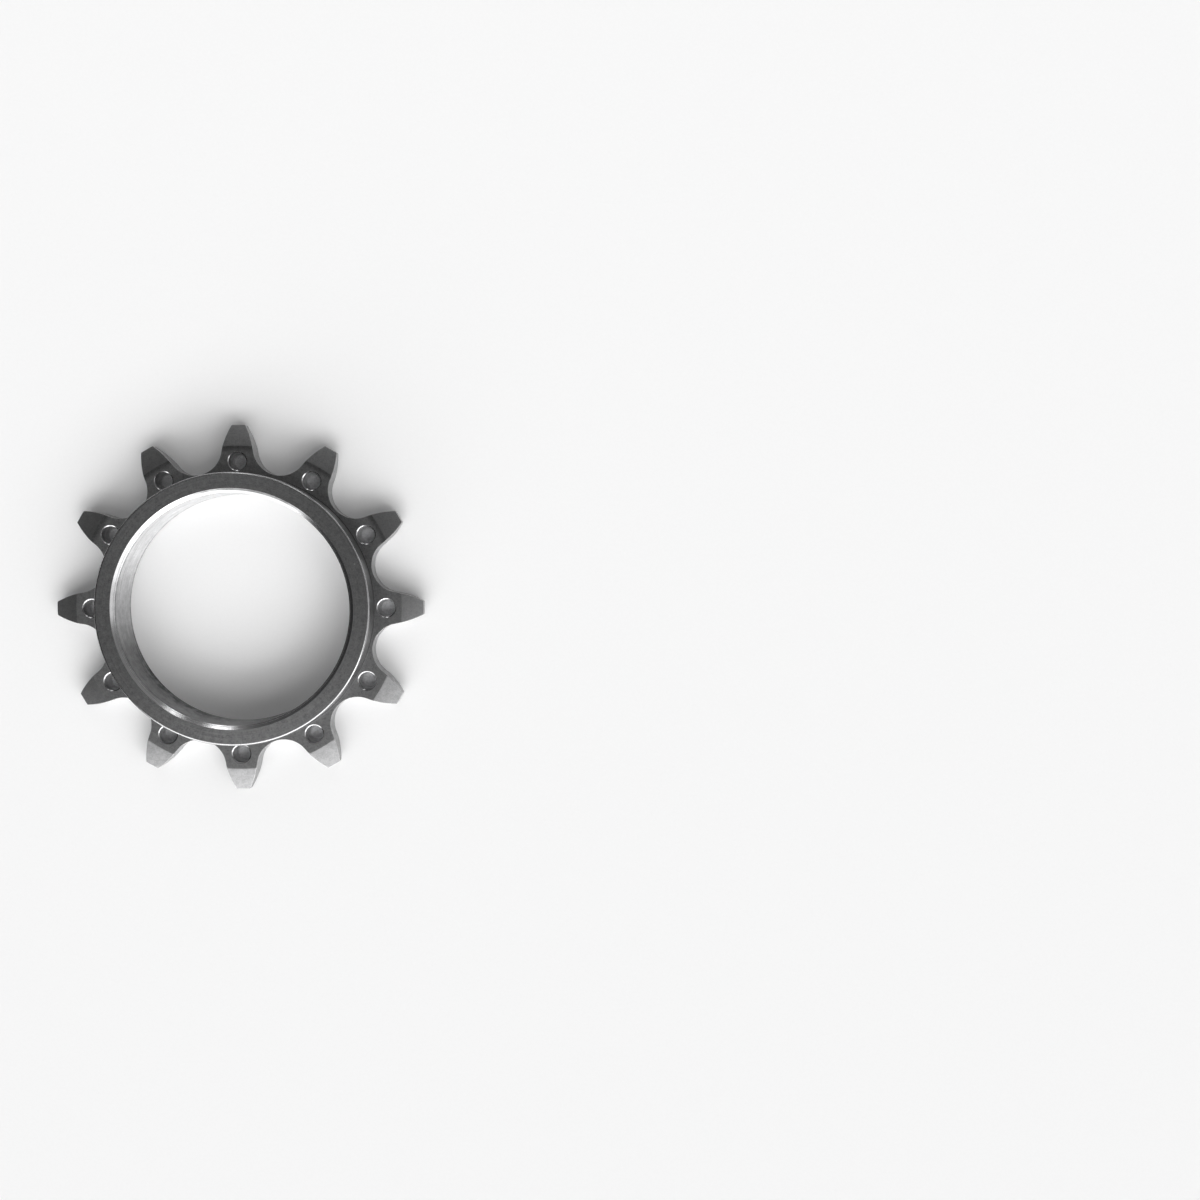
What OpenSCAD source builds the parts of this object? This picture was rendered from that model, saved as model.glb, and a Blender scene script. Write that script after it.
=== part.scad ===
// Single speed cog for half inch chain, machined from one piece of steel.
// The cog lies on its flat back with the collar up. The axis of the bore is Z, the back face
// is at Z = 0, and the middle of one tooth points along +X. All sizes are in millimetres.

/* [Chain] */
// Number of teeth round the cog
teeth = 12; // [12:1:20]
// Chain pitch, from one roller to the next
pitch = 12.7; // [12.7:0.1:14.3]
// Diameter of the chain's roller
roller_d = 7.75; // [7.4:0.05:7.9]
// Angle that the roller seat spans, before 90 / teeth is taken off
seat_span = 140; // [126:1:140]
// Convex flank radius as a share of roller_d * (teeth + 2)
flank_share = 0.12; // [0.1:0.005:0.12]
// Height of the tooth tips above the pitch circle
tip_height = 2.67; // [2.2:0.01:2.95]

/* [Plate] */
// Thickness of the toothed plate, for a one eighth inch chain
plate_t = 3.0; // [2.1:0.1:4]
// Thickness left at the tooth tips between the two bevels
tip_t = 1.3; // [0.8:0.1:1.9]
// Distance from the pitch circle in to the start of the tip bevels
bevel_inset = 0.51; // [0.4:0.01:0.95]

/* [Collar and bore] */
// Diameter of the smooth bore
bore_d = 34.0; // [24:0.1:34.4]
// Wall thickness of the collar, from the bore to its outside
collar_wall = 2.95; // [2:0.05:3.1]
// Height of the collar above the plate
collar_h = 4.0; // [1.5:0.1:8]
// Rounding of the collar's upper outer edge
collar_round = 0.3; // [0.1:0.05:0.6]
// Fillet where the collar meets the plate
foot_fillet = 0.1; // [0.1:0.05:0.25]
// Chamfer at the collar end of the bore, measured across the collar's face
bore_chamfer = 0.6; // [0.2:0.05:0.9]
// How deep that chamfer reaches down the bore
bore_chamfer_depth = 0.35; // [0.15:0.05:0.9]
// Chamfer at the back end of the bore
back_chamfer = 0.4; // [0.2:0.05:0.9]

/* [Blind holes] */
// Diameter of the blind hole at the base of each tooth
hole_d = 2.6; // [2:0.05:2.8]
// Distance from the pitch circle in to the hole centres
hole_inset = 2.78; // [2.75:0.01:2.9]
// Thickness of plate left under each blind hole
hole_floor = 0.8; // [0.4:0.05:1.5]
// Rounding where the wall of each blind hole meets its floor
hole_round = 0.45; // [0.1:0.05:0.5]
// Chamfer round the mouth of each blind hole, measured across the plate's face
hole_chamfer = 0.16; // [0.05:0.01:0.25]
// How deep that chamfer reaches down the hole
hole_chamfer_depth = 0.1; // [0.05:0.01:0.25]

/* [Hidden] */
// Smoothness of the preview
$fn = 120;

// Angle from the middle of a tooth to the middle of the gap beside it
half_step = 180 / teeth;
// Pitch circle, which runs through the roller centres
pitch_r = pitch / 2 / sin(half_step);
// Roller seat, a little larger than the roller itself
seat_r = 0.505 * roller_d + 0.069 * pow(roller_d, 1 / 3);
// Half of the angle over which the roller seat runs, seen from the roller centre
seat_half = (seat_span - 90 / teeth) / 2;
// Radius of the convex tooth flanks
flank_r = flank_share * roller_d * (teeth + 2);
// How far a flank runs into the seat, so that the two curves meet in one clean edge
flank_sink = 0.004;
// Tooth tips, and the start of their bevels
outer_r = pitch_r + tip_height;
bevel_r = pitch_r - bevel_inset;
bevel_drop = (plate_t - tip_t) / 2;
// Corners of a gap's mouth, on the middle lines of the two teeth beside it
mouth_r = (outer_r + 0.05) / cos(half_step);
// End of the seat and centre of the flank, as offsets from the roller centre
seat_end = seat_r * [-cos(seat_half), sin(seat_half)];
flank_c = (seat_r + flank_r - flank_sink) * [-cos(seat_half), sin(seat_half)];

bore_r = bore_d / 2;
collar_r = bore_r + collar_wall;
total_h = plate_t + collar_h;
hole_r = hole_d / 2;
hole_circle_r = pitch_r - hole_inset;
// How far cutting tools run past the face that they cut
over = 1;

// Half section of the plate, from inside the ring out to the bevelled tips
module plate_section() {
    polygon([
        [collar_r - collar_wall / 2, 0],
        [bevel_r, 0],
        [outer_r, bevel_drop],
        [outer_r, plate_t - bevel_drop],
        [bevel_r, plate_t],
        [collar_r - collar_wall / 2, plate_t]
    ]);
}

// Half section of the ring that holds the bore and rises from the plate as the collar
module ring_section() {
    difference() {
        union() {
            polygon([
                [bore_r + back_chamfer, 0],
                [collar_r, 0],
                [collar_r, total_h],
                [bore_r + bore_chamfer, total_h],
                [bore_r, total_h - bore_chamfer_depth],
                [bore_r, back_chamfer]
            ]);
            foot_section();
        }
        rounding_section();
    }
}

// Fillet at the foot of the collar, with a root that lies inside the plate and the collar
module foot_section() {
    root = 0.4;
    difference() {
        translate([collar_r - root, plate_t - root]) square(root + foot_fillet);
        translate([collar_r + foot_fillet, plate_t + foot_fillet]) circle(r = foot_fillet);
    }
}

// What is turned away to round the upper outer edge of the collar
module rounding_section() {
    difference() {
        translate([collar_r - collar_round, total_h - collar_round]) square(collar_round + over);
        translate([collar_r - collar_round, total_h - collar_round]) circle(r = collar_round);
    }
}

// Outline of one gap between two teeth: the roller seat, and the mouth between two convex flanks
module gap_outline() {
    translate([pitch_r, 0]) {
        circle(r = seat_r);
        difference() {
            polygon([
                [seat_end.x, -seat_end.y],
                [mouth_r * cos(half_step) - pitch_r, -mouth_r * sin(half_step)],
                [mouth_r * cos(half_step) - pitch_r, mouth_r * sin(half_step)],
                [seat_end.x, seat_end.y]
            ]);
            for (side = [-1, 1]) translate([flank_c.x, side * flank_c.y]) circle(r = flank_r);
        }
    }
}

// Cutters for all the gaps, each half a step away from a tooth
module gaps() {
    for (i = [0:teeth - 1])
        rotate(half_step + i * 360 / teeth)
            translate([0, 0, -over])
                linear_extrude(plate_t + 2 * over) gap_outline();
}

// Half section of one blind hole, with its chamfered mouth and the rounding at its floor
module hole_section() {
    difference() {
        polygon([
            [0, hole_floor],
            [hole_r, hole_floor],
            [hole_r, plate_t - hole_chamfer_depth],
            [hole_r + 2 * hole_chamfer, plate_t + hole_chamfer_depth],
            [0, plate_t + hole_chamfer_depth]
        ]);
        difference() {
            translate([hole_r - hole_round, hole_floor - over]) square(hole_round + over);
            translate([hole_r - hole_round, hole_floor + hole_round]) circle(r = hole_round);
        }
    }
}

// Cutter for one blind hole
module blind_hole() {
    translate([hole_circle_r, 0, 0]) rotate_extrude() hole_section();
}

module blind_holes() {
    for (i = [0:teeth - 1]) rotate(i * 360 / teeth) blind_hole();
}

// Turned plate with its teeth and holes cut
module toothed_plate() {
    difference() {
        rotate_extrude() plate_section();
        gaps();
        blind_holes();
    }
}

// The finished cog, plate and ring in one piece
module cog() {
    color([0.56, 0.56, 0.57]) {
        toothed_plate();
        rotate_extrude() ring_section();
    }
}

cog();
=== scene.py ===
"""Looks of a single speed cog for half inch chain, lying collar up on white paper.

The cog is one machined piece of steel, so one mesh stands for it. One tooth's share of it is
built in mesh code from the sizes of the part, with softened edges, and a Geometry Nodes tree
repeats it round the bore and gives each machined surface its own finish.
"""

import logging
import math
from dataclasses import dataclass, field
from enum import IntEnum
from typing import Iterable, Sequence

import bmesh
import bpy
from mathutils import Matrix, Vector
from mathutils.geometry import delaunay_2d_cdt


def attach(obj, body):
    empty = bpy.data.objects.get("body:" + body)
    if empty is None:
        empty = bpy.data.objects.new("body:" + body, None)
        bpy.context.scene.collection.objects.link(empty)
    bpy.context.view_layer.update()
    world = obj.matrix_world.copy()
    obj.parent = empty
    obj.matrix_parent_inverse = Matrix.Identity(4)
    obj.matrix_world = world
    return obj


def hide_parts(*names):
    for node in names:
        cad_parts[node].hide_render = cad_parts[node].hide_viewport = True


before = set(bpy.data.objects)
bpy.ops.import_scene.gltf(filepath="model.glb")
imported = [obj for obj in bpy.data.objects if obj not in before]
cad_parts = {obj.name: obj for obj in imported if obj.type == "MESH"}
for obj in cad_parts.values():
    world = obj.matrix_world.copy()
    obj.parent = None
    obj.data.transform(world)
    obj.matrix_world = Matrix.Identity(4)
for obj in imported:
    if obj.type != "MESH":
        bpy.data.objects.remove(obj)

log = logging.getLogger("cog")

MM = 0.001
Point2 = tuple[float, float]
Point3 = tuple[float, float, float]


class Zone(IntEnum):
    """Machined surfaces of the cog that have a finish of their own."""

    PLATE = 0
    BEVEL = 1
    FLANK = 2
    COLLAR_SIDE = 3
    COLLAR_RIM = 4
    COLLAR_FACE = 5
    CHAMFER = 6
    BORE = 7
    HOLE = 8
    HOLE_MOUTH = 9
    EDGE = 10


class Side(IntEnum):
    """The two flat faces of the toothed plate, as the way that each one looks along Z."""

    UPPER = 1
    LOWER = -1


@dataclass(frozen=True)
class CogSize:
    """Sizes of the cog in millimetres.

    Those down to hole_chamfer_depth are the same as in the part's source. The others are finer
    than the part itself: softened corners, the thin land in the bore's chamfer, the gap that
    keeps the tips inside the part's box, and the rows that hold the mesh beside a rounding.
    """

    teeth: int = 12
    pitch: float = 12.7
    roller_d: float = 7.75
    seat_span: float = 140.0
    flank_share: float = 0.12
    tip_height: float = 2.67
    plate_t: float = 3.0
    tip_t: float = 1.3
    bevel_inset: float = 0.51
    bore_d: float = 34.0
    collar_wall: float = 2.95
    collar_h: float = 4.0
    collar_round: float = 0.3
    foot_fillet: float = 0.1
    bore_chamfer: float = 0.6
    bore_chamfer_depth: float = 0.35
    back_chamfer: float = 0.4
    hole_d: float = 2.6
    hole_inset: float = 2.78
    hole_floor: float = 0.8
    hole_round: float = 0.45
    hole_chamfer: float = 0.16
    hole_chamfer_depth: float = 0.1
    edge_break: float = 0.035
    tip_corner: float = 0.14
    tip_gap: float = 0.003
    bevel_soft: float = 0.03
    land_in: float = 0.16
    land_w: float = 0.035
    land_round: float = 0.012
    lip_round: float = 0.03
    bore_edge_round: float = 0.05
    back_edge_round: float = 0.04
    mouth_round: float = 0.03
    support: float = 0.03
    mouth_support: float = 0.015

    @property
    def half_step(self) -> float:
        """Angle from a tooth's middle to the gap beside it, in radians."""
        return math.pi / self.teeth

    @property
    def pitch_r(self) -> float:
        """Radius of the pitch circle."""
        return self.pitch / 2 / math.sin(self.half_step)

    @property
    def seat_r(self) -> float:
        """Radius of the roller seat, by the formula of the chain standards."""
        return 0.505 * self.roller_d + 0.069 * self.roller_d ** (1 / 3)

    @property
    def flank_r(self) -> float:
        """Radius of the convex tooth flank."""
        return self.flank_share * self.roller_d * (self.teeth + 2)

    @property
    def outer_r(self) -> float:
        """Radius of the tooth tips."""
        return self.pitch_r + self.tip_height - self.tip_gap

    @property
    def bevel_r(self) -> float:
        """Radius at which the tip bevels start."""
        return self.pitch_r - self.bevel_inset

    @property
    def bevel_drop(self) -> float:
        """How far each bevel falls by the tooth tip."""
        return (self.plate_t - self.tip_t) / 2

    @property
    def bore_r(self) -> float:
        """Radius of the bore."""
        return self.bore_d / 2

    @property
    def collar_r(self) -> float:
        """Outer radius of the collar."""
        return self.bore_r + self.collar_wall

    @property
    def total_h(self) -> float:
        """Height of the whole cog."""
        return self.plate_t + self.collar_h

    @property
    def land_z(self) -> float:
        """Height of the thin land in the bore's chamfer."""
        slope = self.bore_chamfer_depth / self.bore_chamfer
        return self.total_h - slope * (self.bore_chamfer - self.land_in - self.land_w)

    @property
    def lip_z(self) -> float:
        """Height at which the bore's wall meets its chamfer."""
        return self.land_z - self.bore_chamfer_depth / self.bore_chamfer * self.land_in

    @property
    def hole_at(self) -> float:
        """Distance of the blind holes from the axis."""
        return self.pitch_r - self.hole_inset

    def fall(self, radius: float) -> float:
        """How far the bevel has fallen at a radius, with a softly broken start line.

        Args:
            radius: Distance from the axis.

        Returns:
            The fall below the plate's flat face.
        """
        slope = self.bevel_drop / (self.outer_r - self.bevel_r)
        past = radius - self.bevel_r
        soft = self.bevel_soft
        if past <= -soft:
            return 0.0
        if past >= soft:
            return slope * past
        return slope * (past + soft) ** 2 / (4 * soft)

    def face_z(self, side: Side, radius: float, drop: float = 0.0) -> float:
        """Height of one face of the plate at a radius, on its flat or on its bevel.

        Args:
            side: The upper or the lower face.
            radius: Distance from the axis.
            drop: How far the point lies inside that face.

        Returns:
            The height above the back of the cog.
        """
        flat = self.plate_t if side is Side.UPPER else 0.0
        return flat - side * (self.fall(radius) + drop)


class MeshDraft:
    """Vertices and faces of a mesh in the making, in millimetres."""

    def __init__(self) -> None:
        """Starts an empty mesh."""
        self.points: list[Point3] = []
        self.worn: list[float] = []
        self.faces: list[tuple[int, ...]] = []
        self.zones: list[int] = []

    def loop(self, points: Iterable[Point3], worn: float = 0.0) -> list[int]:
        """Adds a row of vertices.

        Args:
            points: Places of the vertices.
            worn: How much of an edge the row is, from 0 to 1.

        Returns:
            The indices of the new vertices.
        """
        first = len(self.points)
        for point in points:
            self.points.append(point)
            self.worn.append(worn)
        return list(range(first, len(self.points)))

    def face(self, corners: Sequence[int], zone: Zone) -> None:
        """Adds one face."""
        self.faces.append(tuple(corners))
        self.zones.append(int(zone))

    def strip(
        self, lower: Sequence[int], upper: Sequence[int], zone: Zone, closed: bool = False
    ) -> None:
        """Joins two rows of equal length with four-sided faces.

        Args:
            lower: First row of vertex indices.
            upper: Second row of vertex indices.
            zone: Surface that the faces belong to.
            closed: Whether the rows close on themselves.
        """
        count = len(lower)
        for i in range(count if closed else count - 1):
            j = (i + 1) % count
            self.face((lower[i], lower[j], upper[j], upper[i]), zone)

    def build(self, name: str) -> bpy.types.Mesh:
        """Makes the Blender mesh, in metres, with its zone and wear attributes.

        Args:
            name: Name of the mesh.

        Returns:
            The new mesh.
        """
        mesh = bpy.data.meshes.new(name)
        mesh.from_pydata([tuple(MM * c for c in p) for p in self.points], [], self.faces)
        zone = mesh.attributes.new("zone", "INT", "FACE")
        zone.data.foreach_set("value", self.zones)
        worn = mesh.attributes.new("worn", "FLOAT", "POINT")
        worn.data.foreach_set("value", self.worn)
        mesh.update()
        return mesh


@dataclass
class Corner:
    """A corner of a turned profile, with the finish of the face that follows it."""

    radius: float
    height: float
    zone: Zone
    rounding: float = 0.0
    bend: Zone = Zone.EDGE


class TurnedProfile:
    """A profile of straight faces with rounded corners, which the lathe turns round an axis."""

    least_hold = 0.001

    def __init__(self, corners: Sequence[Corner], support: float, steps: int = 4) -> None:
        """Lays out the profile's points.

        Args:
            corners: Corners in order. The first and the last aren't rounded.
            support: Distance of the holding row on each side of a rounding.
            steps: Pieces that each rounding is made of.
        """
        self.places: list[Point2] = []
        self.zones: list[Zone] = []
        self.worn: list[float] = []
        for i, corner in enumerate(corners):
            here = Vector((corner.radius, corner.height))
            if i == 0 or i == len(corners) - 1 or corner.rounding <= 0:
                self._add(here, corner.zone, 0.0)
                continue
            back = Vector((corners[i - 1].radius, corners[i - 1].height)) - here
            ahead = Vector((corners[i + 1].radius, corners[i + 1].height)) - here
            self._round(here, back, ahead, corners[i - 1].zone, corner, support, steps)

    def _add(self, place: Vector, zone: Zone, worn: float) -> None:
        """Adds one point.

        Args:
            place: Radius and height of the point.
            zone: Surface that the face after the point belongs to.
            worn: How much of an edge the point is.
        """
        self.places.append((place.x, place.y))
        self.zones.append(zone)
        self.worn.append(worn)

    def _round(
        self,
        here: Vector,
        back: Vector,
        ahead: Vector,
        before: Zone,
        corner: Corner,
        support: float,
        steps: int,
    ) -> None:
        """Adds a rounding with a holding row on each side.

        Args:
            here: The sharp corner.
            back: From the corner to the one before it.
            ahead: From the corner to the one after it.
            before: Zone of the face that ends here.
            corner: The corner's own values.
            support: Distance of the holding rows from the rounding.
            steps: Pieces of the rounding.
        """
        u, v = back.normalized(), ahead.normalized()
        half = u.angle(v) / 2
        run = corner.rounding / math.tan(half)
        middle = here + (u + v).normalized() * (corner.rounding / math.sin(half))
        hold = min(support, (back.length - run) / 3)
        if hold > self.least_hold:
            self._add(here + u * (run + hold), before, 0.0)
        first = here + u * run - middle
        last = here + v * run - middle
        turn = first.angle(last)
        for k in range(steps + 1):
            t = k / steps
            arm = (first * math.sin((1 - t) * turn) + last * math.sin(t * turn)) / math.sin(turn)
            zone = corner.zone if k == steps else corner.bend
            worn = 1.0 - abs(2 * t - 1) ** 3 if zone is Zone.EDGE else 0.0
            self._add(middle + arm, zone, worn)
        hold = min(support, (ahead.length - run) / 3)
        if hold > self.least_hold:
            self._add(here + v * (run + hold), corner.zone, 0.0)


@dataclass
class ToothOutline:
    """Outline of one tooth between the middles of the two gaps beside it."""

    size: CogSize
    places: list[Vector] = field(default_factory=list)
    normals: list[Vector] = field(default_factory=list)

    def __post_init__(self) -> None:
        """Works out the outline: roller seat, convex flank, rounded corner and flat tip."""
        half = self._half()
        for place, normal in half:
            self.places.append(Vector((place.x, place.y)))
            self.normals.append(normal)
        for place, normal in reversed(half[:-1]):
            self.places.append(Vector((place.x, -place.y)))
            self.normals.append(Vector((normal.x, -normal.y)))

    def _half(self) -> list[tuple[Vector, Vector]]:
        """Works out the lower half, from the gap's root to the middle of the tip.

        Returns:
            Places and outward normals.
        """
        s = self.size
        seat_half = math.radians(s.seat_span - 90 / s.teeth) / 2
        gap = Vector((math.cos(s.half_step), -math.sin(s.half_step))) * s.pitch_r
        inward = math.pi - s.half_step
        points: list[tuple[Vector, Vector]] = []
        seat_steps = 22
        for k in range(seat_steps):
            a = inward - seat_half * k / seat_steps
            arm = Vector((math.cos(a), math.sin(a)))
            points.append((gap + arm * s.seat_r, -arm))
        last = inward - seat_half
        centre = gap + Vector((math.cos(last), math.sin(last))) * (s.seat_r + s.flank_r)
        inner = self._meet(centre, s.flank_r - s.tip_corner, s.outer_r - s.tip_corner)
        start = last - math.pi
        to_corner = inner - centre
        stop = math.atan2(to_corner.y, to_corner.x)
        flank_steps = 26
        for k in range(flank_steps + 1):
            a = start + (stop - start) * k / flank_steps
            arm = Vector((math.cos(a), math.sin(a)))
            points.append((centre + arm * s.flank_r, arm))
        end = math.atan2(inner.y, inner.x)
        corner_steps = 5
        for k in range(1, corner_steps + 1):
            a = stop + (end - stop) * k / corner_steps
            arm = Vector((math.cos(a), math.sin(a)))
            points.append((inner + arm * s.tip_corner, arm))
        tip_steps = 5
        for k in range(1, tip_steps + 1):
            a = end * (1 - k / tip_steps)
            arm = Vector((math.cos(a), math.sin(a)))
            points.append((arm * s.outer_r, arm))
        return points

    @staticmethod
    def _meet(centre: Vector, reach: float, radius: float) -> Vector:
        """Finds where a circle round a centre meets a circle round the axis, near the tip.

        Args:
            centre: Centre of the first circle.
            reach: Radius of the first circle.
            radius: Radius of the circle round the axis.

        Returns:
            The meeting point on the tip's side of the centre.
        """
        gap = centre.length
        along = (gap * gap + radius * radius - reach * reach) / (2 * gap)
        across = math.sqrt(max(radius * radius - along * along, 0.0))
        u = centre / gap
        return u * along + Vector((u.y, -u.x)) * across

    def inset(self, distance: float) -> list[Vector]:
        """The outline moved into the metal by a distance."""
        return [p - n * distance for p, n in zip(self.places, self.normals)]


@dataclass
class FlatPatch:
    """A filled flat region of the cog's face inside boundary rows that already exist.

    The rows are closed loops of vertex indices in the draft, the outer one first. The steps
    are the distances between inner points, on the flat and along the start of the bevel.
    """

    draft: MeshDraft
    rows: Sequence[Sequence[int]]
    step: float
    bevel_step: float = 0.07
    bevel_gap: float = 0.015
    sliver: float = 1e-6

    @staticmethod
    def _inside(place: Vector, ring: Sequence[Vector]) -> bool:
        """Tells whether a place lies inside a closed ring.

        Args:
            place: The place.
            ring: Corners of the ring.

        Returns:
            True inside the ring.
        """
        hit = False
        for a, b in zip(ring, list(ring[1:]) + [ring[0]]):
            if (a.y > place.y) != (b.y > place.y):
                if place.x < (b.x - a.x) * (place.y - a.y) / (b.y - a.y) + a.x:
                    hit = not hit
        return hit

    @staticmethod
    def _clear(place: Vector, ring: Sequence[Vector], gap: float) -> bool:
        """Tells whether a place keeps a gap from every side of a ring.

        Args:
            place: The place.
            ring: Corners of the ring.
            gap: The least distance.

        Returns:
            True where the place is clear of the ring.
        """
        for a, b in zip(ring, list(ring[1:]) + [ring[0]]):
            side = b - a
            t = max(0.0, min(1.0, (place - a).dot(side) / max(side.length_squared, 1e-12)))
            if (a + side * t - place).length < gap:
                return False
        return True

    def fill(self, size: CogSize, side: Side) -> None:
        """Fills the region with small triangles that follow the flat and the bevel.

        Args:
            size: Sizes of the cog.
            side: The face of the plate that the region is on.
        """
        rings = [[Vector(self.draft.points[i][:2]) for i in row] for row in self.rows]
        inner = self._inner_points(size, rings)
        first = len(self.draft.points)
        self.draft.loop((p.x, p.y, size.face_z(side, p.length)) for p in inner)
        flat: list[Vector] = []
        index: list[int] = []
        edges: list[tuple[int, int]] = []
        for row, ring in zip(self.rows, rings):
            start = len(flat)
            flat.extend(ring)
            index.extend(row)
            edges.extend((start + i, start + (i + 1) % len(ring)) for i in range(len(ring)))
        flat.extend(inner)
        index.extend(range(first, first + len(inner)))
        _, _, faces, origins, _, _ = delaunay_2d_cdt(flat, edges, [], 0, self.sliver)
        for face in faces:
            corners = [origins[i][0] for i in face]
            middle = sum((flat[i] for i in corners), Vector((0, 0))) / len(corners)
            if not self._inside(middle, rings[0]) or any(self._inside(middle, r) for r in rings[1:]):
                continue
            a, b, c = (flat[i] for i in corners[:3])
            if abs((b - a).cross(c - a)) < self.sliver:
                continue
            zone = Zone.BEVEL if middle.length > size.bevel_r else Zone.PLATE
            if side is Side.LOWER:
                corners.reverse()
            self.draft.face([index[i] for i in corners], zone)

    def _inner_points(self, size: CogSize, rings: Sequence[Sequence[Vector]]) -> list[Vector]:
        """Lays points inside the region, course by course round the axis.

        Args:
            size: Sizes of the cog.
            rings: Corners of the boundary loops, the outer one first.

        Returns:
            The points that lie in the region and clear of its boundary.
        """
        inner: list[Vector] = []
        limit = size.half_step * 1.02
        for radius, step, gap in self._courses(size, min(p.length for p in rings[0])):
            count = max(2, math.ceil(2 * limit * radius / step))
            for k in range(count + 1):
                a = -limit + 2 * limit * k / count
                place = Vector((radius * math.cos(a), radius * math.sin(a)))
                outside = not self._inside(place, rings[0]) or any(self._inside(place, r) for r in rings[1:])
                if not outside and all(self._clear(place, r, gap) for r in rings):
                    inner.append(place)
        return inner

    def _courses(self, size: CogSize, start: float) -> Iterable[tuple[float, float, float]]:
        """Radii of the courses of inner points, with their spacing and gap.

        Args:
            size: Sizes of the cog.
            start: Radius of the innermost boundary point.

        Yields:
            Radius, spacing along the course and gap kept from the boundary.
        """
        radius = start + self.step * 0.5
        while radius < size.outer_r:
            if abs(radius - size.bevel_r) > self.step * 0.4:
                yield radius, self.step, self.step * 0.35
            radius += self.step
        for offset in (-size.bevel_soft, 0.0, size.bevel_soft):
            yield size.bevel_r + offset, self.bevel_step, self.bevel_gap


@dataclass
class CogSector:
    """One tooth with its share of the plate, the collar and the bore.

    The margins are how far the plate's mesh starts beyond the back chamfer, the collar's foot
    and a hole's mouth. The floor of a hole is filled round its middle from floor_r inwards.
    """

    size: CogSize
    columns: int = 40
    hole_sides: int = 48
    back_margin: float = 0.08
    foot_margin: float = 0.001
    mouth_margin: float = 0.045
    floor_r: float = 0.3
    flat_step: float = 0.3
    back_step: float = 0.5
    draft: MeshDraft = field(default_factory=MeshDraft)

    def __post_init__(self) -> None:
        """Works out the outline of the tooth."""
        self.outline = ToothOutline(self.size)

    def build(self) -> bpy.types.Mesh:
        """Builds the sector.

        Returns:
            The mesh of one tooth's share.
        """
        back_row, foot_row = self._ring()
        top_rim, low_rim = self._walls()
        mouth = self._blind_hole()
        s = self.size
        top = list(top_rim) + list(reversed(foot_row))
        FlatPatch(self.draft, [top, mouth], self.flat_step).fill(s, Side.UPPER)
        sides = self._side_rows(low_rim, back_row)
        low = list(low_rim) + sides[1] + list(reversed(back_row)) + sides[0]
        FlatPatch(self.draft, [low], self.back_step).fill(s, Side.LOWER)
        return self.draft.build("cog_sector")

    def _ring(self) -> tuple[list[int], list[int]]:
        """Turns the ring: back chamfer, bore, chamfer, collar and its foot.

        Returns:
            The row at the back face and the row at the collar's foot.
        """
        s = self.size
        land_r = s.bore_r + s.land_in
        corners = [
            Corner(s.bore_r + s.back_chamfer + self.back_margin, 0.0, Zone.PLATE),
            Corner(s.bore_r + s.back_chamfer, 0.0, Zone.CHAMFER, s.back_edge_round),
            Corner(s.bore_r, s.back_chamfer, Zone.BORE, s.bore_edge_round),
            Corner(s.bore_r, s.lip_z, Zone.CHAMFER, s.lip_round, Zone.CHAMFER),
            Corner(land_r, s.land_z, Zone.COLLAR_FACE, s.land_round, Zone.COLLAR_FACE),
            Corner(land_r + s.land_w, s.land_z, Zone.CHAMFER, s.land_round, Zone.COLLAR_FACE),
            Corner(s.bore_r + s.bore_chamfer, s.total_h, Zone.COLLAR_FACE, s.bore_edge_round),
            Corner(s.collar_r, s.total_h, Zone.COLLAR_SIDE, s.collar_round, Zone.COLLAR_RIM),
            Corner(s.collar_r, s.plate_t, Zone.PLATE, s.foot_fillet, Zone.COLLAR_SIDE),
            Corner(s.collar_r + s.foot_fillet + self.foot_margin, s.plate_t, Zone.PLATE),
        ]
        profile = TurnedProfile(corners, s.support, steps=5)
        angles = [-s.half_step + 2 * s.half_step * k / self.columns for k in range(self.columns + 1)]
        rows: list[list[int]] = []
        for (radius, height), worn in zip(profile.places, profile.worn):
            arc = ((radius * math.cos(a), radius * math.sin(a), height) for a in angles)
            rows.append(self.draft.loop(arc, worn))
        for k in range(len(rows) - 1):
            self.draft.strip(rows[k], rows[k + 1], profile.zones[k])
        return rows[0], rows[-1]

    def _walls(self) -> tuple[list[int], list[int]]:
        """Builds the flanks, seats and tips with their softened edges.

        Returns:
            The rim rows on the upper and on the lower face.
        """
        s = self.size
        e = s.edge_break
        turns = [math.radians(a) for a in (0, 22.5, 45, 67.5, 90)]
        drops = [(e + s.support, 0.0, 0.0)]
        drops += [(e * (1 - math.sin(a)), e * (1 - math.cos(a)), math.sin(2 * a)) for a in turns]
        drops += [(0.0, e + s.support, 0.0)]
        upper = [self._wall_row(Side.UPPER, inset, drop, worn) for inset, drop, worn in drops]
        lower = [self._wall_row(Side.LOWER, inset, drop, worn) for inset, drop, worn in drops]
        for rows in (upper, lower):
            self._rim_strip(rows[0], rows[1])
            for k in range(1, len(rows) - 2):
                self.draft.strip(rows[k], rows[k + 1], Zone.EDGE)
            self.draft.strip(rows[-2], rows[-1], Zone.FLANK)
        self.draft.strip(upper[-1], lower[-1], Zone.FLANK)
        return upper[0], lower[0]

    def _rim_strip(self, inner: Sequence[int], outer: Sequence[int]) -> None:
        """Joins the holding row to the rounding, as plate or as bevel.

        Args:
            inner: The holding row.
            outer: The first row of the rounding.
        """
        reach = 0.02
        for i in range(len(inner) - 1):
            radius = math.hypot(*self.draft.points[inner[i]][:2])
            zone = Zone.BEVEL if radius > self.size.bevel_r - reach else Zone.PLATE
            self.draft.face((inner[i], inner[i + 1], outer[i + 1], outer[i]), zone)

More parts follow.
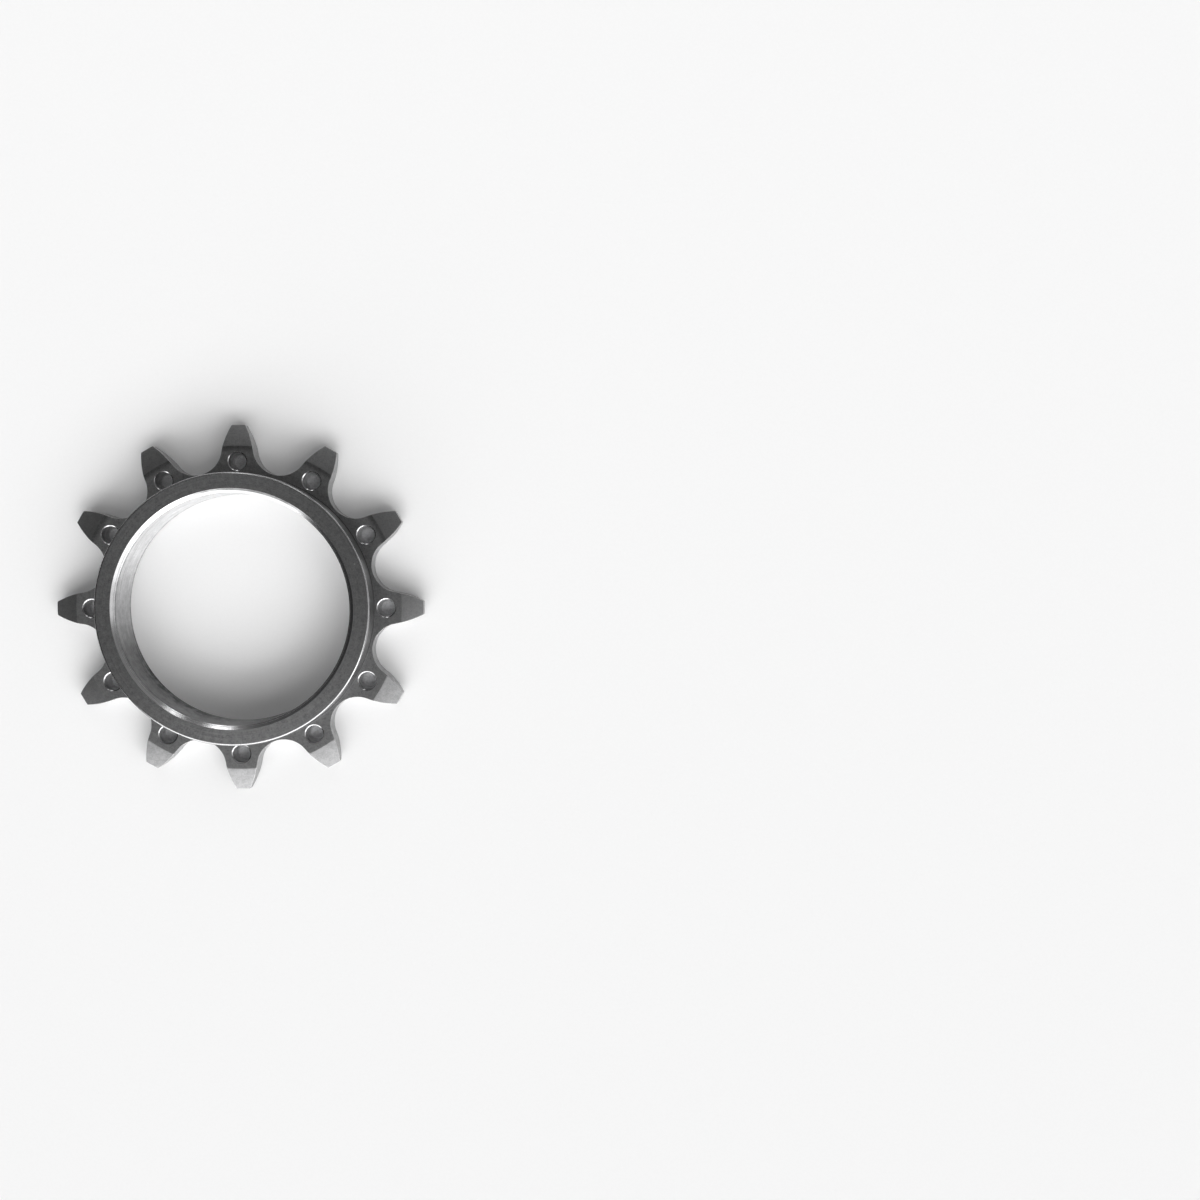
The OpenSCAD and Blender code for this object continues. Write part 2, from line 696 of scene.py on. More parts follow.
    def _wall_row(self, side: Side, inset: float, drop: float, worn: float) -> list[int]:
        """Adds one row along the outline.

        Args:
            side: The face of the plate that the row is measured from.
            inset: Distance into the metal from the outline.
            drop: Distance into the metal from that face.
            worn: How much of an edge the row is.

        Returns:
            The new row.
        """
        places = self.outline.inset(inset)
        return self.draft.loop(((p.x, p.y, self.size.face_z(side, p.length, drop)) for p in places), worn)

    def _side_rows(self, rim: Sequence[int], back: Sequence[int]) -> tuple[list[int], list[int]]:
        """Adds the points along the two cut sides of the back face.

        Args:
            rim: Rim row of the back face.
            back: Row at the back chamfer.

        Returns:
            The rows from the bore to the rim on the first side and from the rim on the second.
        """
        low = math.hypot(*self.draft.points[back[0]][:2])
        high = math.hypot(*self.draft.points[rim[0]][:2])
        count = 6
        rows: list[list[int]] = []
        for sign in (-1.0, 1.0):
            a = sign * self.size.half_step
            radii = [low + (high - low) * k / count for k in range(1, count)]
            rows.append(self.draft.loop((r * math.cos(a), r * math.sin(a), 0.0) for r in radii))
        return rows[0], list(reversed(rows[1]))

    def _blind_hole(self) -> list[int]:
        """Builds the blind hole with its chamfered mouth.

        Returns:
            The row round the mouth on the plate.
        """
        s = self.size
        r = s.hole_d / 2
        mouth_r = r + s.hole_chamfer
        corners = [
            Corner(mouth_r + self.mouth_margin, s.plate_t, Zone.PLATE),
            Corner(mouth_r, s.plate_t, Zone.HOLE_MOUTH, s.mouth_round, Zone.HOLE_MOUTH),
            Corner(r, s.plate_t - s.hole_chamfer_depth, Zone.HOLE, s.mouth_round, Zone.HOLE_MOUTH),
            Corner(r, s.hole_floor, Zone.HOLE, s.hole_round, Zone.HOLE),
            Corner(self.floor_r, s.hole_floor, Zone.HOLE),
        ]
        profile = TurnedProfile(corners, s.mouth_support, steps=6)
        turns = [2 * math.pi * k / self.hole_sides for k in range(self.hole_sides)]
        rows: list[list[int]] = []
        for radius, height in profile.places:
            ring = ((s.hole_at + radius * math.cos(a), radius * math.sin(a), height) for a in turns)
            rows.append(self.draft.loop(ring))
        for k in range(len(rows) - 1):
            self.draft.strip(rows[k], rows[k + 1], profile.zones[k], closed=True)
        hub = self.draft.loop([(s.hole_at, 0.0, s.hole_floor)])[0]
        last = rows[-1]
        for i in range(len(last)):
            self.draft.face((last[i], last[(i + 1) % len(last)], hub), Zone.HOLE)
        return rows[0]


class NodeTree:
    """Short hand for wiring nodes."""

    def __init__(self, tree: bpy.types.NodeTree) -> None:
        """Takes the tree to wire."""
        self.tree = tree

    def add(self, kind: str, **values: object) -> bpy.types.Node:
        """Adds a node and sets its properties.

        Args:
            kind: Type name of the node.
            **values: Properties to set.

        Returns:
            The new node.
        """
        node = self.tree.nodes.new(kind)
        for key, value in values.items():
            setattr(node, key, value)
        return node

    def link(self, source: bpy.types.NodeSocket, target: bpy.types.NodeSocket) -> None:
        """Links two sockets."""
        self.tree.links.new(source, target)

    def put(self, target: bpy.types.NodeSocket, value: object) -> None:
        """Feeds an input.

        Args:
            target: The input socket.
            value: A socket that is linked to it, or a plain value.
        """
        if isinstance(value, bpy.types.NodeSocket):
            self.link(value, target)
        else:
            target.default_value = value

    def math(
        self, operation: str, first: object, second: object = 0.0, clamp: bool = False
    ) -> bpy.types.NodeSocket:
        """Adds a Math node.

        Args:
            operation: Blender's name of the operation.
            first: First value or socket.
            second: Second value or socket.
            clamp: Whether the result stays between 0 and 1.

        Returns:
            The result's socket.
        """
        node = self.add("ShaderNodeMath", operation=operation, use_clamp=clamp)
        self.put(node.inputs[0], first)
        self.put(node.inputs[1], second)
        return node.outputs[0]

    def spread(
        self, value: object, low: float, high: float, to_low: float = 0.0, to_high: float = 1.0
    ) -> bpy.types.NodeSocket:
        """Maps a range on to another, clamped.

        Args:
            value: Value or socket.
            low: Start of the range.
            high: End of the range.
            to_low: Result at the start.
            to_high: Result at the end.

        Returns:
            The result's socket.
        """
        node = self.add("ShaderNodeMapRange", clamp=True)
        for socket, given in zip(node.inputs[:5], (value, low, high, to_low, to_high)):
            self.put(socket, given)
        return node.outputs[0]

    def noise(
        self, where: bpy.types.NodeSocket, scale: float, detail: float = 2.0, rough: float = 0.5
    ) -> bpy.types.NodeSocket:
        """Adds a Noise Texture.

        Args:
            where: Coordinates.
            scale: Scale of the noise.
            detail: Octaves.
            rough: Share of the finer octaves.

        Returns:
            The noise value's socket.
        """
        node = self.add("ShaderNodeTexNoise", noise_dimensions="3D")
        self.link(where, node.inputs["Vector"])
        node.inputs["Scale"].default_value = scale
        node.inputs["Detail"].default_value = detail
        node.inputs["Roughness"].default_value = rough
        return node.outputs["Fac"]

    def here(self) -> bpy.types.NodeSocket:
        """The shaded place on the object, in metres."""
        return self.add("ShaderNodeTexCoord").outputs["Object"]

    def split(self, vector: bpy.types.NodeSocket) -> Sequence[bpy.types.NodeSocket]:
        """Splits a vector.

        Args:
            vector: Socket of the vector.

        Returns:
            Sockets of its X, Y and Z.
        """
        parts = self.add("ShaderNodeSeparateXYZ")
        self.link(vector, parts.inputs[0])
        return list(parts.outputs)

    def reach(self, x: bpy.types.NodeSocket, y: bpy.types.NodeSocket) -> bpy.types.NodeSocket:
        """Distance from the axis of the bore.

        Args:
            x: Place along X.
            y: Place along Y.

        Returns:
            The distance's socket.
        """
        squares = self.math("ADD", self.math("MULTIPLY", x, x), self.math("MULTIPLY", y, y))
        return self.math("SQRT", squares)

    def azimuth(self, x: bpy.types.NodeSocket, y: bpy.types.NodeSocket) -> bpy.types.NodeSocket:
        """Angle round the axis of the bore.

        Args:
            x: Place along X.
            y: Place along Y.

        Returns:
            Socket of the angle in degrees, from -180 to 180.
        """
        return self.math("MULTIPLY", self.math("ARCTAN2", y, x), 180 / math.pi)


class Effects:
    """Shader node groups that the finishes share."""

    def __init__(self) -> None:
        """Builds the groups."""
        self.turned = self._turned_marks()
        self.ground = self._ground_grain()
        self.worn = self._edge_wear()
        self.nicks = self._nicks()

    @staticmethod
    def _open(
        name: str, inputs: dict[str, float], outputs: Sequence[str]
    ) -> tuple[NodeTree, bpy.types.Node, bpy.types.Node]:
        """Starts a group with named sockets.

        Args:
            name: Name of the group.
            inputs: Names and defaults of the inputs.
            outputs: Names of the outputs.

        Returns:
            The wiring helper, the input node and the output node.
        """
        tree = bpy.data.node_groups.new(name, "ShaderNodeTree")
        for label, value in inputs.items():
            socket = tree.interface.new_socket(name=label, in_out="INPUT", socket_type="NodeSocketFloat")
            socket.default_value = value
        for label in outputs:
            tree.interface.new_socket(name=label, in_out="OUTPUT", socket_type="NodeSocketFloat")
        wires = NodeTree(tree)
        return wires, wires.add("NodeGroupInput"), wires.add("NodeGroupOutput")

    def _turned_marks(self) -> bpy.types.NodeTree:
        """Fine marks that run round the axis, as a lathe tool leaves them.

        Returns:
            The group, with Height and Tone outputs.
        """
        wires, ins, outs = self._open(
            "turned_marks", {"Marks per mm": 6.0, "Break up": 0.6}, ("Height", "Tone")
        )
        per_turn = 3.0
        height_share = 0.83
        where = wires.here()
        x, y, z = wires.split(where)
        angle = wires.math("ARCTAN2", y, x)
        density = wires.math("MULTIPLY", ins.outputs["Marks per mm"], 1 / MM)
        climb = wires.math("ADD", wires.reach(x, y), wires.math("MULTIPLY", z, height_share))
        lay = wires.add("ShaderNodeCombineXYZ")
        wires.put(lay.inputs[0], wires.math("MULTIPLY", climb, density))
        wires.put(lay.inputs[1], wires.math("MULTIPLY", wires.math("COSINE", angle), per_turn))
        wires.put(lay.inputs[2], wires.math("MULTIPLY", wires.math("SINE", angle), per_turn))
        marks = wires.noise(lay.outputs[0], scale=1.0, detail=3.0, rough=0.6)
        patches = wires.noise(where, scale=900.0, detail=4.0, rough=0.65)
        blend = wires.math("MULTIPLY", wires.math("SUBTRACT", patches, 0.5), ins.outputs["Break up"])
        height = wires.math("ADD", marks, blend)
        wires.put(outs.inputs["Height"], height)
        wires.put(outs.inputs["Tone"], wires.spread(height, low=0.3, high=0.7))
        return wires.tree

    def _ground_grain(self) -> bpy.types.NodeTree:
        """Mottled grain of a coarsely ground or pickled face.

        Returns:
            The group, with Height and Tone outputs.
        """
        wires, ins, outs = self._open("ground_grain", {"Coarse": 0.5, "Fine": 0.5}, ("Height", "Tone"))
        where = wires.here()
        coarse = wires.noise(where, scale=1300.0, detail=3.0, rough=0.55)
        fine = wires.noise(where, scale=5200.0, detail=3.0, rough=0.6)
        height = wires.math(
            "ADD",
            wires.math("MULTIPLY", wires.math("SUBTRACT", coarse, 0.5), ins.outputs["Coarse"]),
            wires.math("MULTIPLY", wires.math("SUBTRACT", fine, 0.5), ins.outputs["Fine"]),
        )
        height = wires.math("ADD", height, 0.5)
        wires.put(outs.inputs["Height"], height)
        wires.put(outs.inputs["Tone"], wires.spread(height, low=0.38, high=0.62))
        return wires.tree

    def _nicks(self) -> bpy.types.NodeTree:
        """Sparse small knocks that handling left in the metal.

        Returns:
            The group, with a Mask output.
        """
        wires, ins, outs = self._open(
            "nicks", {"Cells per mm": 0.4, "Size mm": 0.07, "Share": 0.3}, ("Mask",)
        )
        shake_scale = 6000.0
        shake_by = 0.12 * MM
        where = wires.here()
        shake = wires.add("ShaderNodeTexNoise", noise_dimensions="3D")
        shake.inputs["Scale"].default_value = shake_scale
        wires.link(where, shake.inputs["Vector"])
        push = wires.add("ShaderNodeVectorMath", operation="MULTIPLY_ADD")
        wires.link(shake.outputs["Color"], push.inputs[0])
        push.inputs[1].default_value = (shake_by, shake_by, shake_by)
        wires.link(where, push.inputs[2])
        cells = wires.add("ShaderNodeTexVoronoi", voronoi_dimensions="3D", feature="F1")
        wires.link(push.outputs[0], cells.inputs["Vector"])
        wires.put(cells.inputs["Scale"], wires.math("MULTIPLY", ins.outputs["Cells per mm"], 1 / MM))
        pick = wires.add("ShaderNodeSeparateColor")
        wires.link(cells.outputs["Color"], pick.inputs[0])
        chosen = wires.math("LESS_THAN", pick.outputs[0], ins.outputs["Share"])
        least = 0.4
        size = wires.math("MULTIPLY", ins.outputs["Size mm"], ins.outputs["Cells per mm"])
        size = wires.math("MULTIPLY", size, wires.math("ADD", pick.outputs[1], least))
        near = wires.spread(wires.math("DIVIDE", cells.outputs["Distance"], size), 0.5, 1.0, 1.0, 0.0)
        wires.put(outs.inputs["Mask"], wires.math("MULTIPLY", near, chosen))
        return wires.tree

    def _edge_wear(self) -> bpy.types.NodeTree:
        """Bright bare metal along the edges, broken up a little.

        Returns:
            The group, with a Mask output.
        """
        wires, ins, outs = self._open("edge_wear", {"Amount": 1.0, "Break up": 0.3}, ("Mask",))
        edge = wires.add("ShaderNodeAttribute", attribute_name="worn").outputs["Fac"]
        noise = wires.noise(wires.here(), scale=700.0, detail=3.0, rough=0.6)
        patches = wires.spread(noise, low=0.35, high=0.65)
        keep = wires.math("SUBTRACT", 1.0, wires.math("MULTIPLY", patches, ins.outputs["Break up"]))
        mask = wires.math("MULTIPLY", wires.math("MULTIPLY", edge, keep), ins.outputs["Amount"], clamp=True)
        wires.put(outs.inputs["Mask"], mask)
        return wires.tree


class Along(IntEnum):
    """Direction in which a band's mask runs."""

    RADIUS = 0
    HEIGHT = 1


@dataclass(frozen=True)
class Band:
    """A ring of lighter or darker metal, or of painted light or shade.

    It comes in between the first two of four marks, which are radii or heights in millimetres,
    and goes out between the last two. It may keep to a span of azimuths in degrees. Its edges
    sway by a part of a millimetre, and patches of it are weaker.
    """

    along: Along
    marks: tuple[float, float, float, float]
    factor: float
    break_up: float = 0.3
    azimuths: Point2 | None = None
    sway: float = 0.2
    azimuth_soft: float = 8.0

    def wire(self, wires: NodeTree) -> bpy.types.NodeSocket:
        """Adds the band to a material.

        Args:
            wires: Wiring helper of the material.

        Returns:
            What the metal's grey is multiplied by.
        """
        where = wires.here()
        x, y, z = wires.split(where)
        value = wires.reach(x, y) if self.along is Along.RADIUS else z
        patches = wires.noise(where, scale=900.0, detail=3.0, rough=0.6)
        sway = wires.math("MULTIPLY", wires.math("SUBTRACT", patches, 0.5), self.sway * MM)
        value = wires.math("ADD", value, sway)
        a, b, c, d = (m * MM for m in self.marks)
        mask = wires.math("MULTIPLY", wires.spread(value, a, b), wires.spread(value, c, d, 1.0, 0.0))
        if self.azimuths:
            azimuth = wires.azimuth(x, y)
            low, high = self.azimuths
            soft = self.azimuth_soft
            inside = wires.math(
                "MULTIPLY",
                wires.spread(azimuth, low - soft, low + soft),
                wires.spread(azimuth, high - soft, high + soft, 1.0, 0.0),
            )
            mask = wires.math("MULTIPLY", mask, inside)
        weak = wires.math("MULTIPLY", wires.spread(patches, low=0.4, high=0.6), self.break_up)
        mask = wires.math("MULTIPLY", mask, wires.math("SUBTRACT", 1.0, weak))
        return wires.math("ADD", 1.0, wires.math("MULTIPLY", mask, self.factor - 1.0))


@dataclass(frozen=True)
class SteelFinish:
    """A bare steel surface with the marks that its machining left.

    The shares of the lathe's marks and of the ground grain are turned and ground, and relief_mm
    is the height of both. How far highlights are drawn out across the marks goes from 0 to 1.
    """

    name: str
    grey: float
    grey_spread: float
    roughness: float
    rough_spread: float
    turned: float
    marks_per_mm: float
    ground: float
    bump: float
    drawn: float = 0.0
    bands: tuple[Band, ...] = ()
    nick_share: float = 0.0
    nick_depth: float = 2.0
    edge_grey: float = 0.62
    edge_rough: float = 0.25
    relief_mm: float = 0.03
    blue_lift: float = 1.01

    def dress(self, effects: Effects) -> bpy.types.Material:
        """Builds the material.

        Args:
            effects: The shared node groups.

        Returns:
            The new material.
        """
        material = bpy.data.materials.new(self.name)
        material.use_nodes = True
        wires = NodeTree(material.node_tree)
        shader = material.node_tree.nodes["Principled BSDF"]
        shader.inputs["Metallic"].default_value = 1.0
        if self.drawn > 0:
            self._draw_out(wires, shader)
        turned = wires.add("ShaderNodeGroup", node_tree=effects.turned)
        turned.inputs["Marks per mm"].default_value = self.marks_per_mm
        ground = wires.add("ShaderNodeGroup", node_tree=effects.ground)
        worn = wires.add("ShaderNodeGroup", node_tree=effects.worn)
        total = max(self.turned + self.ground, 1e-6)
        tone = wires.math(
            "ADD",
            wires.math("MULTIPLY", turned.outputs["Tone"], self.turned / total),
            wires.math("MULTIPLY", ground.outputs["Tone"], self.ground / total),
        )
        nicks = wires.add("ShaderNodeGroup", node_tree=effects.nicks)
        nicks.inputs["Share"].default_value = self.nick_share
        bright = wires.math("MAXIMUM", worn.outputs["Mask"], nicks.outputs["Mask"])
        wires.link(self._colour(wires, tone, bright), shader.inputs["Base Color"])
        wires.link(self._rough(wires, tone, worn.outputs["Mask"]), shader.inputs["Roughness"])
        height = wires.math(
            "ADD",
            wires.math("MULTIPLY", turned.outputs["Height"], self.turned),
            wires.math("MULTIPLY", ground.outputs["Height"], self.ground),
        )
        dents = wires.math("MULTIPLY", nicks.outputs["Mask"], self.nick_depth)
        height = wires.math("SUBTRACT", height, dents)
        wires.link(self._relief(wires, height), shader.inputs["Normal"])
        return material

    def _draw_out(self, wires: NodeTree, shader: bpy.types.Node) -> None:
        """Draws the highlights out across the turned marks, as fine grooves do.

        Args:
            wires: Wiring helper of the material.
            shader: The material's shader.
        """
        shader.inputs["Anisotropic"].default_value = self.drawn
        shader.inputs["Anisotropic Rotation"].default_value = 0.25
        tangent = wires.add("ShaderNodeTangent", direction_type="RADIAL", axis="Z")
        wires.link(tangent.outputs[0], shader.inputs["Tangent"])

    def _rough(
        self, wires: NodeTree, tone: bpy.types.NodeSocket, worn: bpy.types.NodeSocket
    ) -> bpy.types.NodeSocket:
        """Mixes the roughness, smoother on the light marks and on the worn edges.

        Args:
            wires: Wiring helper of the material.
            tone: Light and dark of the machining marks.
            worn: Where an edge is worn bright.

        Returns:
            The roughness's socket.
        """
        rougher, smoother = self.roughness + self.rough_spread, self.roughness - self.rough_spread
        rough = wires.spread(tone, 0.0, 1.0, to_low=rougher, to_high=smoother)
        mix = wires.add("ShaderNodeMix", data_type="FLOAT")
        wires.put(mix.inputs["Factor"], worn)
        wires.put(mix.inputs["A"], rough)
        wires.put(mix.inputs["B"], self.edge_rough)
        return mix.outputs["Result"]

    def _relief(self, wires: NodeTree, height: bpy.types.NodeSocket) -> bpy.types.NodeSocket:
        """Turns the height of the marks into a normal.

        Args:
            wires: Wiring helper of the material.
            height: Height of the marks and the nicks.

        Returns:
            The normal's socket.
        """
        bump = wires.add("ShaderNodeBump")
        bump.inputs["Strength"].default_value = self.bump
        bump.inputs["Distance"].default_value = self.relief_mm * MM
        wires.link(height, bump.inputs["Height"])
        return bump.outputs["Normal"]

    def _colour(
        self, wires: NodeTree, tone: bpy.types.NodeSocket, mask: bpy.types.NodeSocket
    ) -> bpy.types.NodeSocket:
        """Mixes the metal's greys, with its bands, some of which are painted light and shade.

        Args:
            wires: Wiring helper of the material.
            tone: Light and dark of the machining marks.
            mask: Where an edge or a nick is worn bright.

        Returns:
            The colour's socket.
        """
        low, high = self.grey - self.grey_spread, self.grey + self.grey_spread
        base = wires.add("ShaderNodeMix", data_type="RGBA")
        wires.link(tone, base.inputs["Factor"])
        base.inputs["A"].default_value = (low, low, low * self.blue_lift, 1.0)
        base.inputs["B"].default_value = (high, high, high * self.blue_lift, 1.0)
        metal = base.outputs["Result"]
        for band in self.bands:
            shade = wires.add("ShaderNodeMix", data_type="RGBA", blend_type="MULTIPLY")
            shade.inputs["Factor"].default_value = 1.0
            wires.link(metal, shade.inputs["A"])
            grey = wires.add("ShaderNodeCombineColor")
            level = band.wire(wires)
            for socket in grey.inputs[:3]:
                wires.link(level, socket)
            wires.link(grey.outputs[0], shade.inputs["B"])
            metal = shade.outputs["Result"]
        edge = wires.add("ShaderNodeMix", data_type="RGBA")
        wires.link(mask, edge.inputs["Factor"])
        wires.link(metal, edge.inputs["A"])
        edge.inputs["B"].default_value = (self.edge_grey, self.edge_grey, self.edge_grey, 1.0)
        return edge.outputs["Result"]


# Painted shade: a darker strip of the plate before the bevels, on the far teeth
PLATE_BANDS = (
    Band(Along.RADIUS, (23.1, 23.7, 24.2, 24.3), factor=0.5, break_up=0.2, azimuths=(10.0, 170.0)),
)
# Brighter metal towards the tips
BEVEL_BANDS = (Band(Along.RADIUS, (24.6, 26.9, 28.0, 28.1), factor=1.25, break_up=0.2),)
# Two turned lines high in the bore, painted shade round the foot of its wall, painted shade over its near
# side, and a darker patch low on that side
BORE_BANDS = (
    Band(Along.HEIGHT, (6.2, 6.4, 6.62, 6.68), factor=0.5, break_up=0.5),
    Band(Along.HEIGHT, (4.9, 5.0, 5.05, 5.15), factor=0.85, break_up=0.8),
    Band(Along.HEIGHT, (0.2, 0.4, 0.7, 1.0), factor=0.7, break_up=0.4),
    Band(Along.HEIGHT, (-0.1, 0.0, 7.0, 7.1), factor=0.56, break_up=0.1, azimuths=(-165.0, -60.0)),
    Band(
        Along.HEIGHT, (-0.1, 0.0, 1.6, 3.8), factor=0.5, break_up=0.7, azimuths=(-152.0, -98.0), sway=1.2
    ),
)
# Painted shade: the outer part of the chamfer darkened on the far side, to dim its reflection there
CHAMFER_BANDS = (
    Band(
        Along.RADIUS, (17.22, 17.36, 17.7, 17.8), factor=0.2, break_up=0.1, azimuths=(54.0, 112.0), sway=0.06
    ),
)
# Painted shade: the collar's rounding darkened on the left to dim its highlight, in two spans that meet at
# 180 degrees
RIM_BANDS = (
    Band(Along.RADIUS, (19.0, 19.1, 20.1, 20.2), factor=0.5, break_up=0.1, azimuths=(126.0, 200.0)),
    Band(Along.RADIUS, (19.0, 19.1, 20.1, 20.2), factor=0.45, break_up=0.1, azimuths=(-200.0, -140.0)),
)
# Painted shade in the fillet at the collar's foot
COLLAR_SIDE_BANDS = (Band(Along.HEIGHT, (2.8, 2.9, 3.08, 3.16), factor=0.5, break_up=0.1, sway=0.02),)
# Painted light on the floor of the blind holes, and painted shade on their upper wall
HOLE_BANDS = (
    Band(Along.HEIGHT, (0.5, 0.6, 0.8, 0.86), factor=1.4, break_up=0.05, sway=0.01),
    Band(Along.HEIGHT, (1.6, 2.8, 3.1, 3.2), factor=0.5, break_up=0.05),
)

FINISHES: dict[Zone, SteelFinish] = {
    Zone.PLATE: SteelFinish(
        "plate_face", grey=0.32, grey_spread=0.09, roughness=0.34, rough_spread=0.05,
        turned=0.2, marks_per_mm=5.0, ground=0.8, bump=0.4, bands=PLATE_BANDS, nick_share=0.25,
    ),
    Zone.BEVEL: SteelFinish(
        "ground_bevel", grey=0.25, grey_spread=0.035, roughness=0.36, rough_spread=0.04,
        turned=0.0, marks_per_mm=5.0, ground=1.0, bump=0.3, bands=BEVEL_BANDS,
    ),
    Zone.FLANK: SteelFinish(
        "cut_flank", grey=0.40, grey_spread=0.06, roughness=0.36, rough_spread=0.05,
        turned=0.0, marks_per_mm=5.0, ground=1.0, bump=0.5,
    ),
    Zone.COLLAR_SIDE: SteelFinish(
        "collar_side", grey=0.17, grey_spread=0.03, roughness=0.5, rough_spread=0.05,
        turned=1.0, marks_per_mm=7.0, ground=0.2, bump=0.3, bands=COLLAR_SIDE_BANDS,
    ),
    Zone.COLLAR_RIM: SteelFinish(
        "collar_rim", grey=0.40, grey_spread=0.05, roughness=0.22, rough_spread=0.04,
        turned=1.0, marks_per_mm=7.0, ground=0.2, bump=0.3, bands=RIM_BANDS,
    ),
    Zone.COLLAR_FACE: SteelFinish(
        "turned_face", grey=0.30, grey_spread=0.12, roughness=0.35, rough_spread=0.05,
        turned=0.6, marks_per_mm=7.0, ground=0.8, bump=0.4, drawn=0.3, nick_share=0.35,
    ),
    Zone.CHAMFER: SteelFinish(
        "bright_chamfer", grey=0.50, grey_spread=0.06, roughness=0.16, rough_spread=0.04,
        turned=1.0, marks_per_mm=9.0, ground=0.1, bump=0.15, bands=CHAMFER_BANDS,
    ),
    Zone.BORE: SteelFinish(
        "smooth_bore", grey=0.54, grey_spread=0.12, roughness=0.56, rough_spread=0.05,
        turned=1.0, marks_per_mm=5.0, ground=0.5, bump=0.15, drawn=0.95, bands=BORE_BANDS,
    ),
    Zone.HOLE: SteelFinish(
        "drilled_hole", grey=0.58, grey_spread=0.05, roughness=0.75, rough_spread=0.05,
        turned=0.0, marks_per_mm=5.0, ground=1.0, bump=0.4, bands=HOLE_BANDS,
    ),
    Zone.HOLE_MOUTH: SteelFinish(
        "drilled_mouth", grey=0.33, grey_spread=0.05, roughness=0.22, rough_spread=0.04,
        turned=0.0, marks_per_mm=7.0, ground=0.6, bump=0.2,
    ),
    Zone.EDGE: SteelFinish(
        "worn_edge", grey=0.38, grey_spread=0.05, roughness=0.30, rough_spread=0.04,
        turned=0.2, marks_per_mm=7.0, ground=0.6, bump=0.2, edge_grey=0.46,
    ),
}


